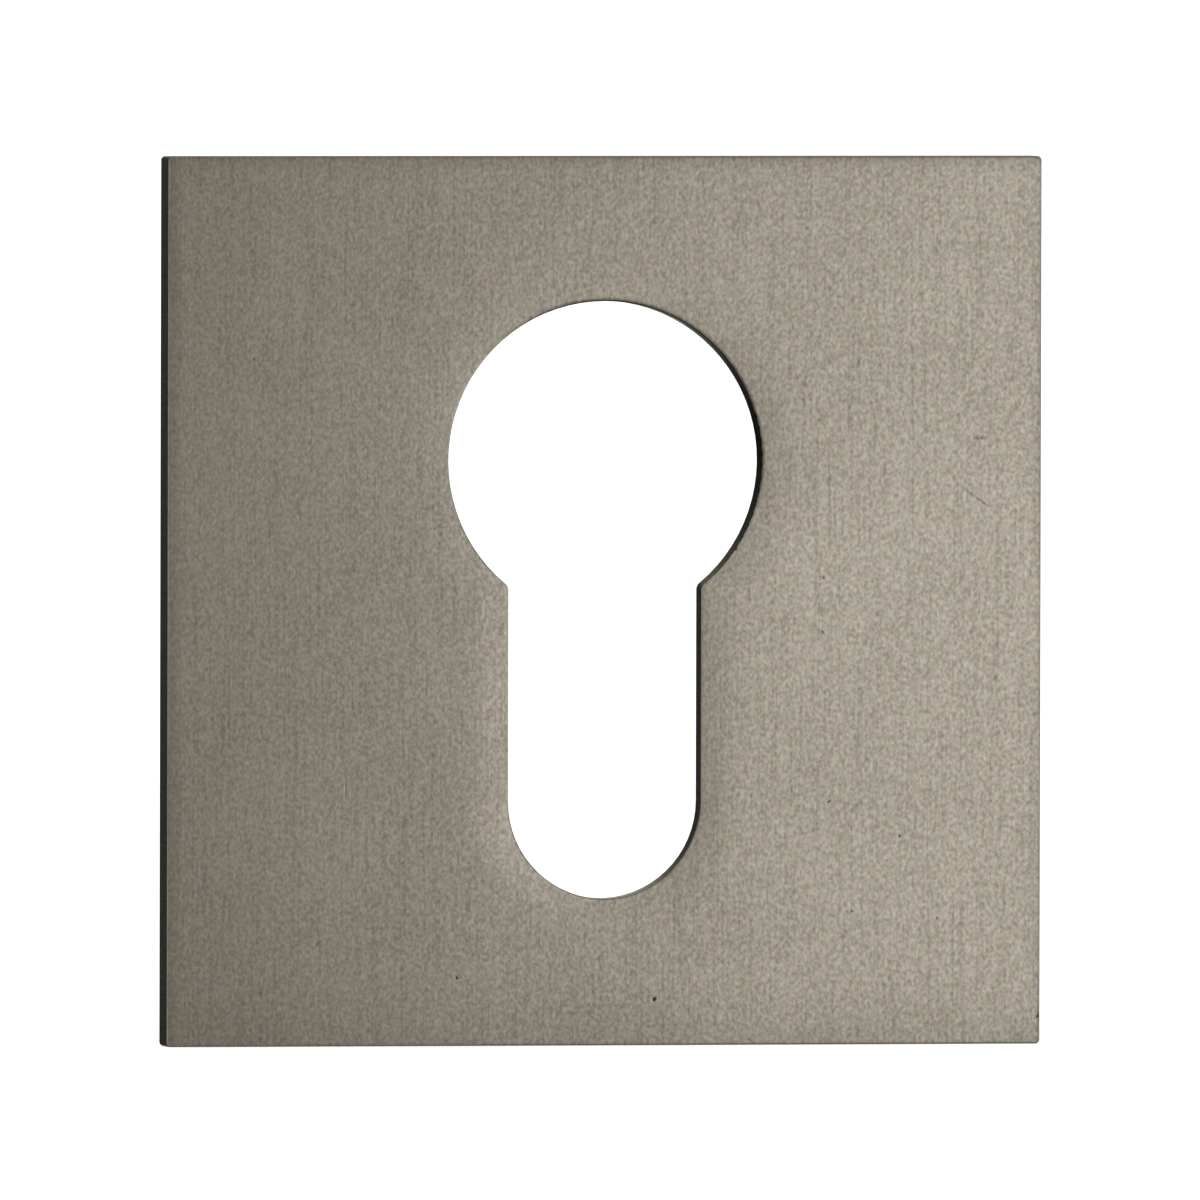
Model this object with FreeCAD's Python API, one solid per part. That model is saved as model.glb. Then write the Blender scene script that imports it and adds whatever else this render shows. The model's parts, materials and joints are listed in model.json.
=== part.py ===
import FreeCAD, Part
import math
import os

# Keyhole escutcheon: one square metal plate with the cut-out for a profile lock cylinder.
# The back is hollowed to a shallow recess inside a rim, so that only the rim meets the door.
# Lengths are in millimetres. Z is up and X points right as seen from the front. The rim's seat
# lies on the plane Y = 0 and the face looks towards -Y. The origin is the middle of the back.

# Plate
PLATE_SIDE = 50.0
CORNER_RADIUS = 0.25
FACE_WALL = 1.5

# Recess and rim at the back
RECESS_DEPTH = 0.8
RIM_WIDTH = 2.0
RECESS_CORNER_RADIUS = 1.5
RECESS_FOOT_RADIUS = 0.2

# Cut-out: a round opening for the cylinder's barrel over a narrower one for its web
BARREL_DIAMETER = 17.9
BARREL_RISE = 7.9
WEB_WIDTH = 11.0
CUT_HEIGHT = 33.6
JUNCTION_RADIUS = 0.5

# Small rounding of every free edge
EDGE_BREAK = 0.1

# Planes across the depth, from the face to the seat
SEAT_Y = 0.0
RECESS_FLOOR_Y = SEAT_Y - RECESS_DEPTH
FACE_Y = RECESS_FLOOR_Y - FACE_WALL


def point(x, z, y):
    """A point of a profile drawn on the upright plane at depth y."""
    return FreeCAD.Vector(x, y, z)


def line(start, end):
    return Part.LineSegment(start, end).toShape()


def arc(start, middle, end):
    return Part.Arc(start, middle, end).toShape()


def rounded_square(side, radius, y):
    """A square centred on the origin, with a quarter circle at each corner."""
    half = side / 2
    inner = half - radius
    reach = inner + radius * math.sqrt(0.5)
    edges = []
    for x, z in ((1, 1), (-1, 1), (-1, -1), (1, -1)):
        upright = point(x * half, z * inner, y)
        level = point(x * inner, z * half, y)
        edges.append(arc(upright, point(x * reach, z * reach, y), level))
    for sign in (1, -1):
        edges.append(line(point(-inner, sign * half, y), point(inner, sign * half, y)))
        edges.append(line(point(sign * half, -inner, y), point(sign * half, inner, y)))
    return Part.Wire(Part.__sortEdges__(edges))


def junction(side, y):
    """The rounded corner where the round opening meets the web's, on one side of the centre line.

    It touches the barrel's circle from outside and the web's straight edge, so its centre is known.
    Returns its three points, from the circle down to the straight edge.
    """
    barrel_radius = BARREL_DIAMETER / 2
    centre_x = WEB_WIDTH / 2 + JUNCTION_RADIUS
    drop = math.sqrt((barrel_radius + JUNCTION_RADIUS) ** 2 - centre_x**2)
    centre_z = BARREL_RISE - drop
    lean = math.atan2(drop, -centre_x)
    middle = (lean + math.pi) / 2
    angles = (lean, middle, math.pi)
    return [
        point(
            side * (centre_x + JUNCTION_RADIUS * math.cos(angle)),
            centre_z + JUNCTION_RADIUS * math.sin(angle),
            y,
        )
        for angle in angles
    ]


def cut_out_profile(y):
    """The cylinder's outline with clearance: a circle over a slot that ends in a half circle."""
    top = BARREL_RISE + BARREL_DIAMETER / 2
    bottom = top - CUT_HEIGHT
    half_web = WEB_WIDTH / 2
    end_z = bottom + half_web
    right, left = junction(1, y), junction(-1, y)
    right_end, left_end = point(half_web, end_z, y), point(-half_web, end_z, y)
    return Part.Wire(
        [
            arc(right[0], point(0, top, y), left[0]),
            arc(*left),
            line(left[2], left_end),
            arc(left_end, point(0, bottom, y), right_end),
            line(right_end, right[2]),
            arc(*reversed(right)),
        ]
    )


def slab(wire, depth):
    """A closed profile carried straight back by depth."""
    return Part.Face(wire).extrude(FreeCAD.Vector(0, depth, 0))


def edges_at(shape, y):
    """The edges that lie wholly on the upright plane at depth y."""
    return [
        edge
        for edge in shape.Edges
        if all(abs(edge.valueAt(t).y - y) < 1e-4 for t in (edge.FirstParameter, edge.LastParameter))
        and abs(edge.CenterOfMass.y - y) < 1e-4
    ]


def hollowed_plate():
    """The square plate with its recess, whose foot is rounded into the rim."""
    plate = slab(rounded_square(PLATE_SIDE, CORNER_RADIUS, FACE_Y), FACE_WALL + RECESS_DEPTH)
    recess_side = PLATE_SIDE - 2 * RIM_WIDTH
    recess = slab(rounded_square(recess_side, RECESS_CORNER_RADIUS, RECESS_FLOOR_Y), RECESS_DEPTH)
    plate = plate.cut(recess)
    return plate.makeFillet(RECESS_FOOT_RADIUS, edges_at(plate, RECESS_FLOOR_Y))


def escutcheon_plate():
    plate = hollowed_plate().cut(slab(cut_out_profile(FACE_Y), FACE_WALL + RECESS_DEPTH))
    cut_edges = [edge for edge in edges_at(plate, RECESS_FLOOR_Y) if in_cut_out(edge)]
    free_edges = edges_at(plate, FACE_Y) + edges_at(plate, SEAT_Y) + cut_edges
    return plate.makeFillet(EDGE_BREAK, free_edges)


def in_cut_out(edge):
    """Whether an edge on the recess floor belongs to the cut-out and not to the recess's outline."""
    box = edge.BoundBox
    reach = max(abs(box.XMin), abs(box.XMax), abs(box.ZMin), abs(box.ZMax))
    return reach < PLATE_SIDE / 2 - RIM_WIDTH - RECESS_CORNER_RADIUS


def main():
    os.makedirs("parts", exist_ok=True)
    plate = escutcheon_plate()
    plate.exportStep("parts/escutcheon_plate.step")
    print("solids", len(plate.Solids), "valid", plate.isValid(), "volume", round(plate.Volume, 1))


main()
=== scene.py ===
import json
import math

import bpy
from mathutils import Matrix, Vector


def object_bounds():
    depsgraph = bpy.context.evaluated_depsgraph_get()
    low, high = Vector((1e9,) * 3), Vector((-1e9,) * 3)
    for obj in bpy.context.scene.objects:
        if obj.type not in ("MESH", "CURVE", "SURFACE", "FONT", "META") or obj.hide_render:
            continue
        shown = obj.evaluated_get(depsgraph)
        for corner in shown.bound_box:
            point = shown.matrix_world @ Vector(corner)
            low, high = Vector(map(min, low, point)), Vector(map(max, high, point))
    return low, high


# A square keyhole escutcheon of satin stainless steel, seen almost square on from the left.
# The plate stands upright with its face towards -Y. Lengths are in metres, and MM is one millimetre.

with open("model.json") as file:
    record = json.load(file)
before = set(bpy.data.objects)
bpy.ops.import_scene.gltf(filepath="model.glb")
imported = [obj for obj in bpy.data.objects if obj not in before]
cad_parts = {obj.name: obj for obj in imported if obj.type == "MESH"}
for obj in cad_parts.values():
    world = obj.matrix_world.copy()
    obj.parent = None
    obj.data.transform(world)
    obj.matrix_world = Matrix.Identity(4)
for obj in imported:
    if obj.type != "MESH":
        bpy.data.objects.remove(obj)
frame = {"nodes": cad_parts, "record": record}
cad_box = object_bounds()

MM = 0.001

# The plate's own sizes, on which its edges and marks depend
PLATE_HALF = cad_box[1].x
FACE_Y = cad_box[0].y
BARREL = next(mount for mount in frame["record"]["mounts"] if mount["name"] == "barrel_opening")
BARREL_Z = BARREL["pos_m"][2]
BARREL_RADIUS = BARREL["dims"]["r_mm"] * MM
CUT_OUT_HEIGHT = 33.6 * MM
SLOT_RADIUS = 5.5 * MM
SLOT_END_Z = BARREL_Z + BARREL_RADIUS - CUT_OUT_HEIGHT + SLOT_RADIUS

# Camera, in the place that gives the photograph's turn, lift and framing
PHOTO_TURN = math.radians(-10.86)
PHOTO_LIFT = math.radians(1.42)
PHOTO_ROLL = math.radians(0.135)
CAMERA_DISTANCE = 2.5
FRAME_HEIGHT = 67.51 * MM
FRAME_SHIFT_RIGHT = 0.16 * MM
FRAME_SHIFT_UP = -0.005 * MM
SENSOR_WIDTH = 36.0
NEAREST_SEEN = 0.1
FARTHEST_SEEN = 40

# The studio that the metal mirrors, as directions seen from the plate, and how bright each part is.
# It grows dim from 55 to 25 degrees off the camera's side, and its level also goes by a direction's height.
STUDIO_COLOUR = "#fff8ee"
STUDIO_LEVEL = 1.0
DIM_SIDE = (0.19, -0.98, 0)
DIM_SPREAD = (math.cos(math.radians(55)), math.cos(math.radians(25)))
DIM_LEVEL = 0.21
DARK_WALL = (-0.53, 0.47, 0)
DARK_WALL_REACH = (0.62, 0.78, 0.75)
DARK_WALL_FADE = (0.9, 1.3)
DARK_LEVEL = 0.012
LEVEL_BY_HEIGHT = ((-1.0, 0.4), (-0.8, 0.5), (-0.5, 1.0), (0.45, 1.0), (0.8, 0.65), (1.0, 0.6))

# The lamp, and the paper that the plate stands on
SOFTBOX_PLACE = Vector((0.06, -0.1, -0.0075))
SOFTBOX_WIDTH = 0.1
SOFTBOX_HEIGHT = 0.09
SOFTBOX_POWER = 0.0455
FLOOR_RADIUS = 8
FLOOR_SIDES = 96
PAPER_COLOUR = "#e8e8e8"
PAPER_GLOW = 0.45

# Sizes of the satin finish's patterns along X, Y and Z.
# Its real lines are finer than the picture shows, so the grain is drawn as coarse as it needs to show.
GRAIN_SIZE = (0.19 * MM, 0.19 * MM, 0.24 * MM)
GRAIN_LEAN = (0.5, 0.6, 0.4)
LINE_SIZE = (0.14 * MM, 0.14 * MM, 6 * MM)
CLOUD_SIZE = (9 * MM, 9 * MM, 9 * MM)
TINT_PATCH_SIZE = (0.8 * MM, 0.8 * MM, 0.8 * MM)
PUNCH_LINE_SIZE = (0.12 * MM, 4 * MM, 0.12 * MM)

# Each of these turns a value between its first two numbers into one between its last two.
# The facing is the normal's Y, from -1 on the face to 1 on the back, and the flatness is its size.
LINE_BY_NOISE = (0.30, 0.50, -0.12, 0.0)
CLOUD_BY_NOISE = (0.3, 0.7, -0.04, 0.04)
PUNCHED_TONE_AND_SHADE_BY_NOISE = (0.35, 0.65, 0.24, 0.10)
WALL_BY_FLATNESS = (0.75, 0.97, 1.0, 0.0)
UNBRUSHED_BY_FACING = (-0.97, -0.75, 0.0, 1.0)
BACK_BY_FACING = (0.3, 0.7, 0.0, 1.0)
ROUGHNESS_BY_TONE = (0.2, 0.8, 0.45, 0.39)

# How light and how deep the finish is, and the painted light on its back
GRAIN_CONTRAST = 1.05
GRAIN_RELIEF = 0.007 * MM
DARKEST_GRAIN = 0.12
# The back's paler tone is painted light, against the dark studio that it mirrors.
BACK_PAINTED_LIGHT = 0.3
BACK_ROUGHER = 0.2
STEEL_BY_TONE = ((0.0, "#38342c"), (DARKEST_GRAIN, "#8a867b"), (0.9, "#bcb7ab"))
TINT_NOISE = (0.4, 0.6)
TINTS = ("#fdfbf9", "#fffdfc")
UNBRUSHED_TINT = "#f2f8ff"

# Painted shade along the edges: how wide and how dark its bands are, and where its line round the opening is
# full.
# That line follows the opening's upper right, whose side is told by x times the slant plus z.
EDGE_SHADE_TINT = "#5a5854"
RIGHT_SHADE_BAND = 0.8 * MM
RIGHT_SHADE_AMOUNT = 0.14
SHADE_LINE_WIDTH = 0.25 * MM
OUTLINE_SHADE = 0.14
OPENING_SHADE = 0.85
FULL_AT_OUTLINE = SHADE_LINE_WIDTH / 3
FULL_AT_OPENING = SHADE_LINE_WIDTH / 5
UPPER_RIGHT_SLANT = 0.75
UPPER_RIGHT_REACH = 0.8 * BARREL_RADIUS

# Bands in which punching has drawn the face in, and its slope at the very edge.
# Across these ranges of x and z it grows shallower towards the round opening's upper left.
OUTLINE_ROLL = 0.9 * MM
LOWER_ROLL = 3.8 * MM
CUT_OUT_ROLL = 2.6 * MM
ROLL_SLOPE = math.tan(math.radians(4.5))
SHALLOW_ROLL = 0.4
SHALLOW_X = (-3 * MM, 3 * MM)
SHALLOW_Z = (1 * MM, 5 * MM)

# Marks on the face: x and z of the middle, half length, half width in mm, turn in degrees, strength.
# A mark fades between these shares of its half sizes, and reaches no further below the face than this.
MARK_FADE = (0.5, 1.1)
MARK_REACH = 0.3 * MM
MARK_DEPTH = 0.02 * MM
FACE_MARKS = (
    (21.4, 9.15, 0.42, 0.17, 4, 0.34),
    (21.28, 5.77, 1.15, 0.085, -34, 0.29),
    (12.85, 6.35, 2.05, 0.06, -89, 0.14),
    (12.45, -1.8, 0.13, 0.12, 0, 0.37),
    (12.53, 1.28, 0.08, 0.08, 0, 0.36),
    (16.9, -13.3, 0.12, 0.07, 60, 0.34),
    (7.53, 2.87, 0.09, 0.09, 0, 0.3),
    (-20.1, 13.6, 0.09, 0.09, 0, 0.3),
    (14.2, -17.5, 0.09, 0.09, 0, 0.4),
    (19.1, -17.9, 0.09, 0.09, 0, 0.25),
    (-8.42, -21.2, 0.13, 0.10, 80, 0.5),
    (2.89, -22.4, 0.17, 0.13, 50, 0.6),
    (-16.4, -19.2, 0.22, 0.14, 50, 0.3),
    (12.85, -11.3, 0.20, 0.09, 40, 0.23),
    (-14.8, -10.5, 0.70, 0.06, 90, 0.25),
    (24.88, -23.55, 0.80, 0.10, 90, 0.25),
    (24.85, -24.80, 0.16, 0.14, 0, 0.25),
    (23.7, -24.6, 0.60, 0.30, 0, 0.16),
)


def srgb(code):
    """An sRGB hex colour as the linear RGBA that a shader takes."""
    channels = [int(code[i : i + 2], 16) / 255 for i in (1, 3, 5)]
    return [c / 12.92 if c <= 0.04045 else ((c + 0.055) / 1.055) ** 2.4 for c in channels] + [1.0]


def add_node(tree, kind, inputs=(), **settings):
    """Adds a node with its settings. Its inputs in use, in order or by name, take a value, an output, or
    another node's first output in use."""
    node = tree.nodes.new("ShaderNode" + kind)
    for name, value in settings.items():
        setattr(node, name, value)
    sockets = [socket for socket in node.inputs if socket.enabled]
    if isinstance(inputs, dict):
        by_name = {socket.name: socket for socket in sockets}
        sockets = [by_name[name] for name in inputs]
        inputs = inputs.values()
    for socket, value in zip(sockets, inputs):
        if isinstance(value, bpy.types.Node):
            value = next(output for output in value.outputs if output.enabled)
        if isinstance(value, bpy.types.NodeSocket):
            tree.links.new(value, socket)
        else:
            socket.default_value = value
    return node


def set_stops(ramp, stops):
    """Gives a colour ramp its stops, each a place from 0 to 1 and a colour."""
    while len(ramp.elements) < len(stops):
        ramp.elements.new(0.5)
    for element, (place, colour) in zip(ramp.elements, stops):
        element.position = place
        element.color = colour


def new_material(name):
    material = bpy.data.materials.new(name)
    material.use_nodes = True
    material.node_tree.nodes.clear()
    return material, material.node_tree


def satin_steel():
    """Stainless steel with a satin finish: broad soft reflections, a fine sparkle and short faint upright
    lines. Punching has drawn the face in round its edges, and left the walls with lines across them. The
    walls' darker tone is partly their finish and partly painted shade."""
    material, tree = new_material("satin_stainless_steel")
    coordinates = add_node(tree, "TexCoord")
    place = coordinates.outputs["Object"]
    facing = add_node(tree, "SeparateXYZ", [coordinates.outputs["Normal"]]).outputs["Y"]
    flatness = add_node(tree, "Math", [facing], operation="ABSOLUTE")
    walls = add_node(tree, "MapRange", [flatness, *WALL_BY_FLATNESS])
    back = add_node(tree, "MapRange", [facing, *BACK_BY_FACING])
    texture = brushed_texture(tree, place)
    marks = face_marks(tree, place)

    clouds = add_pattern(tree, place, CLOUD_SIZE, detail=1.0)
    cloudiness = add_node(tree, "MapRange", [clouds, *CLOUD_BY_NOISE])
    tone = add_node(tree, "Math", [texture, cloudiness], operation="ADD")
    # Painted light: the back's tone is raised against the dark studio behind the plate.
    tone = add_node(tree, "Math", [back, BACK_PAINTED_LIGHT, tone], operation="MULTIPLY_ADD")
    # The walls' darker tone is partly their punched finish and partly painted shade.
    punch_lines = add_pattern(tree, place, PUNCH_LINE_SIZE, detail=2.0)
    punched_tone_and_shade = add_node(tree, "MapRange", [punch_lines, *PUNCHED_TONE_AND_SHADE_BY_NOISE])
    tone = add_node(tree, "Mix", [walls, tone, punched_tone_and_shade])
    tone = add_node(tree, "Math", [tone, marks], operation="SUBTRACT")

    roughness = add_node(tree, "MapRange", [tone, *ROUGHNESS_BY_TONE])
    roughness = add_node(tree, "Math", [back, BACK_ROUGHER, roughness], operation="MULTIPLY_ADD")
    steel = add_node(
        tree,
        "BsdfPrincipled",
        {
            "Base Color": steel_colour(tree, place, facing, tone),
            "Metallic": 1.0,
            "Roughness": roughness,
            "Normal": surface_relief(tree, place, texture, marks),
        },
    )
    add_node(tree, "OutputMaterial", [steel])
    return material


def add_pattern(tree, place, size, detail, lean=(0, 0, 0)):
    """A soft noise whose spots are about as large as the size along X, Y and Z."""
    per_metre = [1 / length for length in size]
    stretched = add_node(tree, "Mapping", {"Vector": place, "Rotation": lean, "Scale": per_metre})
    return add_node(tree, "TexNoise", [stretched, 1.0, detail])


def brushed_texture(tree, place):
    """The satin grain with its short upright lines, from dark to light."""
    grain = add_pattern(tree, place, GRAIN_SIZE, detail=1.0, lean=GRAIN_LEAN)
    middle = (1 - GRAIN_CONTRAST) / 2
    texture = add_node(tree, "Math", [grain, GRAIN_CONTRAST, middle], operation="MULTIPLY_ADD")
    lines = add_pattern(tree, place, LINE_SIZE, detail=1.0)
    faint_lines = add_node(tree, "MapRange", [lines, *LINE_BY_NOISE])
    texture = add_node(tree, "Math", [texture, faint_lines], operation="ADD")
    return add_node(tree, "Math", [texture, DARKEST_GRAIN], operation="MAXIMUM")


def face_marks(tree, place):
    """Scratches, specks and small chips, each a thin soft ellipse on the face."""
    total = 0.0
    for x, z, half_length, half_width, turn, strength in FACE_MARKS:
        on_mark = add_node(
            tree,
            "Mapping",
            {
                "Vector": place,
                "Location": (x * MM, FACE_Y, z * MM),
                "Rotation": (0, -math.radians(turn), 0),
                "Scale": (half_length * MM, MARK_REACH, half_width * MM),
            },
            vector_type="TEXTURE",
        )
        from_middle = add_node(tree, "VectorMath", [on_mark], operation="LENGTH")
        mark = add_node(tree, "MapRange", [from_middle, *MARK_FADE, strength, 0.0])
        total = add_node(tree, "Math", [total, mark], operation="ADD")
    return total


def steel_colour(tree, place, facing, tone):
    """The steel's colour: its tone's, in small patches a little redder or greener, bluer off the brushed
    face, and greyed by painted shade along its edges and round the opening."""
    shade = add_node(tree, "ValToRGB", [tone])
    set_stops(shade.color_ramp, [(at, srgb(code)) for at, code in STEEL_BY_TONE])
    patches = add_pattern(tree, place, TINT_PATCH_SIZE, detail=0.0).outputs["Color"]
    noise_range = [(level, level, level) for level in TINT_NOISE]
    tint_range = [srgb(code)[:3] for code in TINTS]
    tint = add_node(tree, "MapRange", [patches, *noise_range, *tint_range], data_type="FLOAT_VECTOR")
    unbrushed = add_node(tree, "MapRange", [facing, *UNBRUSHED_BY_FACING])
    tint = add_node(tree, "Mix", [unbrushed, tint, srgb(UNBRUSHED_TINT)], data_type="RGBA")
    # Painted shade along the edges and round the opening greys the colour here.
    tint = add_node(tree, "Mix", [painted_edge_shade(tree, place), tint, srgb(EDGE_SHADE_TINT)], data_type="RGBA")
    return add_node(tree, "Mix", [1.0, shade, tint], data_type="RGBA", blend_type="MULTIPLY")


def painted_edge_shade(tree, place):
    """Painted shade: it darkens the face along its right edge, in a thin line round the outline, and along
    the round opening's upper right."""
    axes = add_node(tree, "SeparateXYZ", [place]).outputs
    x, z = axes["X"], axes["Z"]
    # Painted shade where the highlight fades along the right edge.
    right_shade = add_node(tree, "MapRange", [x, PLATE_HALF - RIGHT_SHADE_BAND, PLATE_HALF, 0.0, RIGHT_SHADE_AMOUNT])
    off_level = add_node(tree, "Math", [z], operation="ABSOLUTE")
    side = add_node(tree, "Math", [x, off_level], operation="MAXIMUM")
    # Painted shade in a thin line round the outline, where the edge breaks turn away from the light.
    outline_band = (PLATE_HALF - SHADE_LINE_WIDTH, PLATE_HALF - FULL_AT_OUTLINE)
    outline = add_node(tree, "MapRange", [side, *outline_band, 0.0, OUTLINE_SHADE])

    # Painted shadow in a thin line along the round opening's upper right.
    from_axis = from_middle_line(tree, x, z, BARREL_Z)
    opening_band = (BARREL_RADIUS + FULL_AT_OPENING, BARREL_RADIUS + SHADE_LINE_WIDTH)
    round_opening = add_node(tree, "MapRange", [from_axis, *opening_band, OPENING_SHADE, 0.0])
    rightwards = add_node(tree, "Math", [x, UPPER_RIGHT_SLANT, z], operation="MULTIPLY_ADD")
    upper_right = add_node(tree, "MapRange", [rightwards, BARREL_Z, BARREL_Z + UPPER_RIGHT_REACH, 0.0, 1.0])
    edge_shade = add_node(tree, "Math", [round_opening, upper_right, outline], operation="MULTIPLY_ADD")
    return add_node(tree, "Math", [edge_shade, right_shade], operation="ADD")


def surface_relief(tree, place, texture, marks):
    """The grain's and the marks' small depth, and the face drawn in towards its edges, as bump."""
    height = add_node(tree, "Math", [texture, GRAIN_RELIEF], operation="MULTIPLY")
    mark_depth = add_node(tree, "Math", [marks, MARK_DEPTH], operation="MULTIPLY")
    height = add_node(tree, "Math", [height, mark_depth], operation="SUBTRACT")
    depth = add_node(tree, "SeparateXYZ", [place]).outputs["Y"]
    near_face = add_node(tree, "MapRange", [depth, FACE_Y, 0.0, 1.0, 0.0])
    drawn_in = add_node(tree, "Math", [near_face, edge_roll(tree, place)], operation="MULTIPLY")
    height = add_node(tree, "Math", [height, drawn_in], operation="SUBTRACT")
    return add_node(tree, "Bump", {"Strength": 1.0, "Distance": 1.0, "Height": height})


def edge_roll(tree, place):
    """How far the face lies in near its left, top and bottom edges and round the cut-out. It is shallower at
    the round opening's upper left than anywhere else round the cut-out."""
    axes = add_node(tree, "SeparateXYZ", [place]).outputs
    x, z = axes["X"], axes["Z"]
    from_left = add_node(tree, "Math", [x, PLATE_HALF], operation="ADD")
    from_top = add_node(tree, "Math", [PLATE_HALF, z], operation="SUBTRACT")
    from_sides = add_node(tree, "Math", [from_left, from_top], operation="MINIMUM")
    from_bottom = add_node(tree, "Math", [z, PLATE_HALF], operation="ADD")
    side_roll = rolled(tree, from_sides, OUTLINE_ROLL)
    bottom_roll = rolled(tree, from_bottom, LOWER_ROLL)
    outline_roll = add_node(tree, "Math", [side_roll, bottom_roll], operation="ADD")

    on_left = add_node(tree, "MapRange", [x, *SHALLOW_X, 1.0, 0.0])
    above = add_node(tree, "MapRange", [z, *SHALLOW_Z, 0.0, 1.0])
    upper_left = add_node(tree, "Math", [on_left, above], operation="MULTIPLY")
    share = add_node(tree, "MapRange", [upper_left, 0.0, 1.0, 1.0, SHALLOW_ROLL])
    cut_out_roll = rolled(tree, from_cut_out(tree, x, z), CUT_OUT_ROLL)
    cut_out_roll = add_node(tree, "Math", [cut_out_roll, share], operation="MULTIPLY")
    return add_node(tree, "Math", [outline_roll, cut_out_roll], operation="ADD")


def from_cut_out(tree, x, z):
    """How far a point of the face is from the cut-out."""
    from_axis = from_middle_line(tree, x, z, BARREL_Z)
    barrel = add_node(tree, "Math", [from_axis, BARREL_RADIUS], operation="SUBTRACT")
    nearest = add_node(tree, "Clamp", [z, SLOT_END_Z, BARREL_Z])
    from_line = from_middle_line(tree, x, z, nearest)
    slot = add_node(tree, "Math", [from_line, SLOT_RADIUS], operation="SUBTRACT")
    return add_node(tree, "Math", [barrel, slot], operation="MINIMUM")


def from_middle_line(tree, x, z, point_z):
    """How far a point of the face is from one at this height on the plate's upright middle line."""
    rise = add_node(tree, "Math", [z, point_z], operation="SUBTRACT")
    offset = add_node(tree, "CombineXYZ", {"X": x, "Z": rise})
    return add_node(tree, "VectorMath", [offset], operation="LENGTH")


def rolled(tree, distance, band):
    """A smooth fall from nothing at the band's far side to full slope at the edge."""
    nearness = add_node(tree, "MapRange", [distance, 0.0, band, 1.0, 0.0])
    squared = add_node(tree, "Math", [nearness, nearness], operation="MULTIPLY")
    return add_node(tree, "Math", [squared, band * ROLL_SLOPE / 2], operation="MULTIPLY")


def add_floor():
    level = cad_box[0].z
    bpy.ops.mesh.primitive_circle_add(
        vertices=FLOOR_SIDES, radius=FLOOR_RADIUS, fill_type="NGON", location=(0, 0, level)
    )
    floor = bpy.context.object
    floor.name = "floor"
    floor.data.materials.append(white_paper())
    floor.visible_glossy = False


def white_paper():
    """Matt white paper: it shows as white and keeps the plate's soft shadow."""
    material, tree = new_material("white_paper")
    paper = add_node(tree, "BsdfDiffuse", [srgb(PAPER_COLOUR)])
    glow = add_node(tree, "Emission", {"Strength": PAPER_GLOW})
    glowing = add_node(tree, "AddShader", [paper, glow])
    to_camera = add_node(tree, "LightPath").outputs["Is Camera Ray"]
    shown = add_node(tree, "MixShader", [to_camera, paper, glowing])
    add_node(tree, "OutputMaterial", [shown])
    return material


def add_studio():
    """White to the camera and to the floor, while the metal mirrors a grey studio."""
    world = bpy.data.worlds.new("studio")
    bpy.context.scene.world = world
    world.use_nodes = True
    tree = world.node_tree
    tree.nodes.clear()
    white = add_node(tree, "Background", [srgb("#ffffff"), 1.0])
    round_metal = add_node(tree, "Background", [srgb(STUDIO_COLOUR), studio_level(tree)])
    to_metal = add_node(tree, "LightPath").outputs["Is Glossy Ray"]
    both = add_node(tree, "MixShader", [to_metal, white, round_metal])
    add_node(tree, "OutputWorld", [both])


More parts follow.
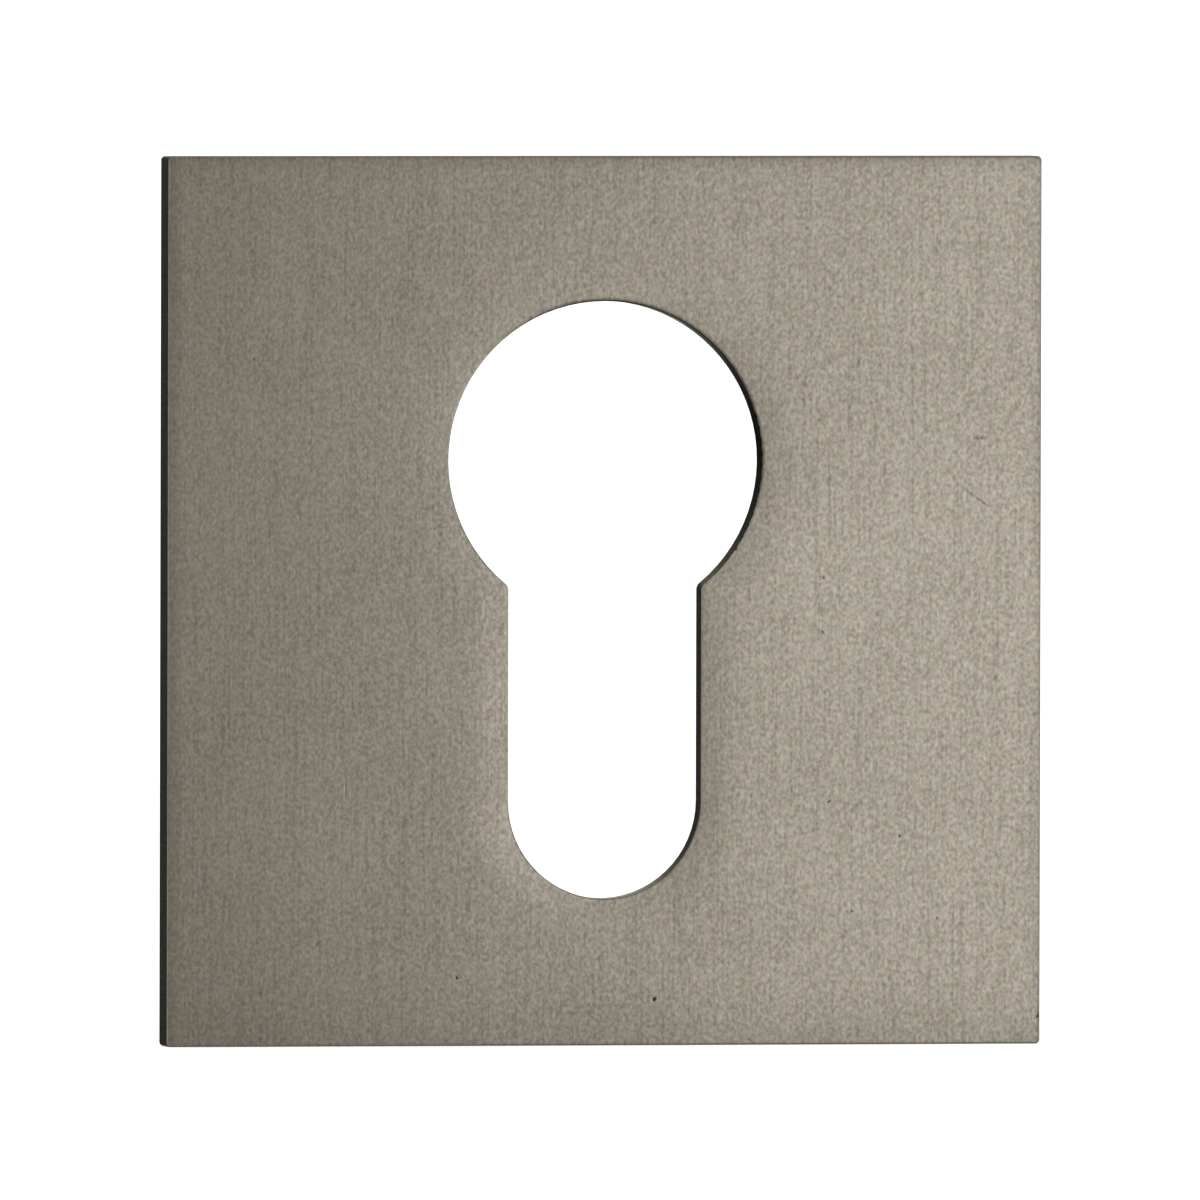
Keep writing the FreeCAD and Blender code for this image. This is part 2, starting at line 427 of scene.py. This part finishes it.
def studio_level(tree):
    """How bright the studio is in each direction: dim on the camera's side, dimmer overhead and underfoot,
    and dark along one wall, behind the plate and on its left."""
    direction = add_node(tree, "TexCoord").outputs["Generated"]
    towards_camera = add_node(tree, "VectorMath", [direction, DIM_SIDE], operation="DOT_PRODUCT")
    by_side = add_node(
        tree,
        "MapRange",
        [towards_camera, *DIM_SPREAD, STUDIO_LEVEL, DIM_LEVEL],
        interpolation_type="SMOOTHSTEP",
    )
    upwards = add_node(tree, "SeparateXYZ", [direction]).outputs["Z"]
    height = add_node(tree, "MapRange", [upwards, -1.0, 1.0, 0.0, 1.0])
    by_height = add_node(tree, "ValToRGB", [height])
    stops = [((z + 1) / 2, (share, share, share, 1.0)) for z, share in LEVEL_BY_HEIGHT]
    set_stops(by_height.color_ramp, stops)
    level = add_node(tree, "Math", [by_side, by_height], operation="MULTIPLY")

    from_wall = add_node(tree, "VectorMath", [direction, DARK_WALL], operation="SUBTRACT")
    in_reaches = add_node(tree, "VectorMath", [from_wall, DARK_WALL_REACH], operation="DIVIDE")
    how_far = add_node(tree, "VectorMath", [in_reaches], operation="LENGTH")
    return add_node(
        tree,
        "MapRange",
        [how_far, *DARK_WALL_FADE, DARK_LEVEL, level],
        interpolation_type="SMOOTHSTEP",
    )


def add_softbox():
    """A rectangular lamp at the front right that faces the plate's middle."""
    light = bpy.data.lights.new("key_softbox", "AREA")
    light.shape = "RECTANGLE"
    light.size = SOFTBOX_WIDTH
    light.size_y = SOFTBOX_HEIGHT
    light.energy = SOFTBOX_POWER
    lamp = bpy.data.objects.new("key_softbox", light)
    bpy.context.collection.objects.link(lamp)
    lamp.location = SOFTBOX_PLACE
    lamp.rotation_euler = (-SOFTBOX_PLACE).to_track_quat("-Z", "Y").to_euler()
    lamp.visible_camera = False


def add_camera():
    back = Vector(
        (
            math.sin(PHOTO_TURN) * math.cos(PHOTO_LIFT),
            -math.cos(PHOTO_TURN) * math.cos(PHOTO_LIFT),
            math.sin(PHOTO_LIFT),
        )
    )
    level_right = Vector((math.cos(PHOTO_TURN), math.sin(PHOTO_TURN), 0))
    level_up = back.cross(level_right)
    right = level_right * math.cos(PHOTO_ROLL) + level_up * math.sin(PHOTO_ROLL)
    up = back.cross(right)
    data = bpy.data.cameras.new("camera")
    data.sensor_width = SENSOR_WIDTH
    data.lens = SENSOR_WIDTH * CAMERA_DISTANCE / FRAME_HEIGHT
    data.clip_start = NEAREST_SEEN
    data.clip_end = FARTHEST_SEEN
    camera = bpy.data.objects.new("camera", data)
    bpy.context.collection.objects.link(camera)
    aim = right * FRAME_SHIFT_RIGHT + up * FRAME_SHIFT_UP
    turn = Matrix((right, up, back)).transposed().to_4x4()
    camera.matrix_world = Matrix.Translation(aim + back * CAMERA_DISTANCE) @ turn
    bpy.context.scene.camera = camera


bpy.context.scene.view_settings.view_transform = "Standard"
bpy.ops.object.select_all(action="DESELECT")

plate = frame["nodes"]["escutcheon_plate"]
plate.data.materials.clear()
plate.data.materials.append(satin_steel())
add_floor()
add_studio()
add_softbox()
add_camera()
